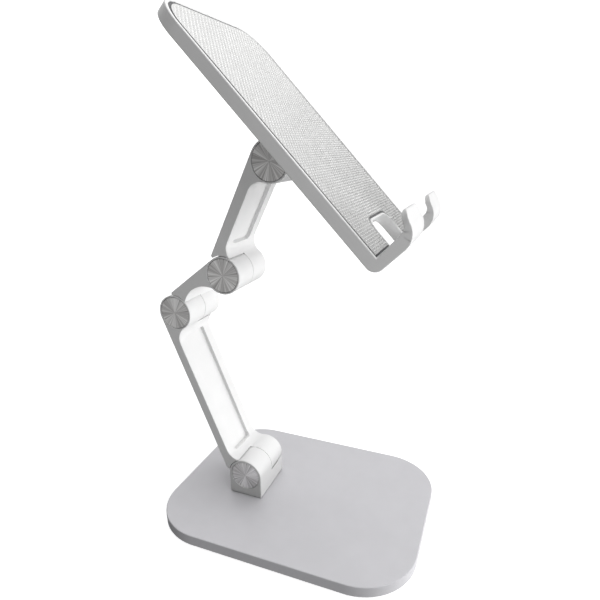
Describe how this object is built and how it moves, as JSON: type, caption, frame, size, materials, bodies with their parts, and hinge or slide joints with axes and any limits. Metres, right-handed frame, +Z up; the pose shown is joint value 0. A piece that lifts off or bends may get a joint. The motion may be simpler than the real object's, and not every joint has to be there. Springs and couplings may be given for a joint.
{
  "type": "phone stand",
  "caption": "Folding desk stand for a phone: weighted rounded base, jointed folding arms on friction hinges with metal caps, and a padded tray with upturned hooks.",
  "frame": {"origin": "middle of the anti-slip pad's underside, where the stand rests on the desk, under the centre of the base", "axes": "+X along the hinge axes, to the right as the user sees it; +Y away from the user; +Z up"},
  "size_m": [0.1092, 0.1468, 0.2485],
  "materials": {
    "base_plastic": "fine satin texture, pale cool grey",
    "arm_plastic": "smooth satin white",
    "tray_plastic": "smooth satin white",
    "tray_silicone": "pale grey silicone with a fine staggered dot texture",
    "foot_silicone": "dark matt silicone",
    "ballast_steel": "rolled sheet",
    "spun_metal": "spun, with circular machining marks",
    "zinc_steel": "zinc plated",
    "nylon": "natural nylon"
  },
  "bodies": {
    "base": {"base_shell": "base_plastic", "ballast_plate": "ballast_steel", "bottom_cover": "base_plastic", "anti_slip_pad": "foot_silicone", "pedestal": "arm_plastic", "cover_screw_1": "zinc_steel", "cover_screw_2": "zinc_steel", "cover_screw_3": "zinc_steel", "cover_screw_4": "zinc_steel", "pedestal_screw_1": "zinc_steel", "pedestal_screw_2": "zinc_steel", "pedestal_screw_3": "zinc_steel", "pedestal_screw_4": "zinc_steel", "hinge_1_bolt": "zinc_steel", "hinge_1_spring_washer": "zinc_steel", "hinge_1_friction_washer": "nylon", "hinge_1_nut": "zinc_steel", "hinge_1_left_cap": "spun_metal"},
    "lower_arm": {"lower_arm": "arm_plastic", "hinge_1_right_cap": "spun_metal", "hinge_2_bolt": "zinc_steel", "hinge_2_spring_washer": "zinc_steel", "hinge_2_friction_washer": "nylon", "hinge_2_nut": "zinc_steel", "hinge_2_left_cap": "spun_metal"},
    "middle_link": {"middle_link": "arm_plastic", "hinge_2_right_cap": "spun_metal", "hinge_3_bolt": "zinc_steel", "hinge_3_spring_washer": "zinc_steel", "hinge_3_friction_washer": "nylon", "hinge_3_nut": "zinc_steel", "hinge_3_left_cap": "spun_metal"},
    "upper_arm": {"upper_arm": "arm_plastic", "hinge_3_right_cap": "spun_metal", "hinge_4_bolt": "zinc_steel", "hinge_4_spring_washer": "zinc_steel", "hinge_4_friction_washer": "nylon", "hinge_4_nut": "zinc_steel", "hinge_4_left_cap": "spun_metal"},
    "tray": {"tray_bracket": "arm_plastic", "tray_shell": "tray_plastic", "tray_pad": "tray_silicone", "bracket_screw_1": "zinc_steel", "bracket_screw_2": "zinc_steel", "bracket_screw_3": "zinc_steel", "bracket_screw_4": "zinc_steel", "hinge_4_right_cap": "spun_metal"}
  },
  "joints": [
    {"name": "base_hinge", "type": "hinge", "parent": "base", "child": "lower_arm", "pos_m": [0, 0.0296, 0.0206], "axis": [1, 0, 0], "range_deg": [-8, 30]},
    {"name": "link_hinge", "type": "hinge", "parent": "lower_arm", "child": "middle_link", "pos_m": [0, 0.06673, 0.11367], "axis": [1, 0, 0], "range_deg": [-100, 30]},
    {"name": "upper_hinge", "type": "hinge", "parent": "middle_link", "child": "upper_arm", "pos_m": [0, 0.03686, 0.1365], "axis": [1, 0, 0], "range_deg": [-4, 35]},
    {"name": "tray_hinge", "type": "hinge", "parent": "upper_arm", "child": "tray", "pos_m": [0, 0.01058, 0.18944], "axis": [1, 0, 0], "range_deg": [-45, 70]}
  ]
}
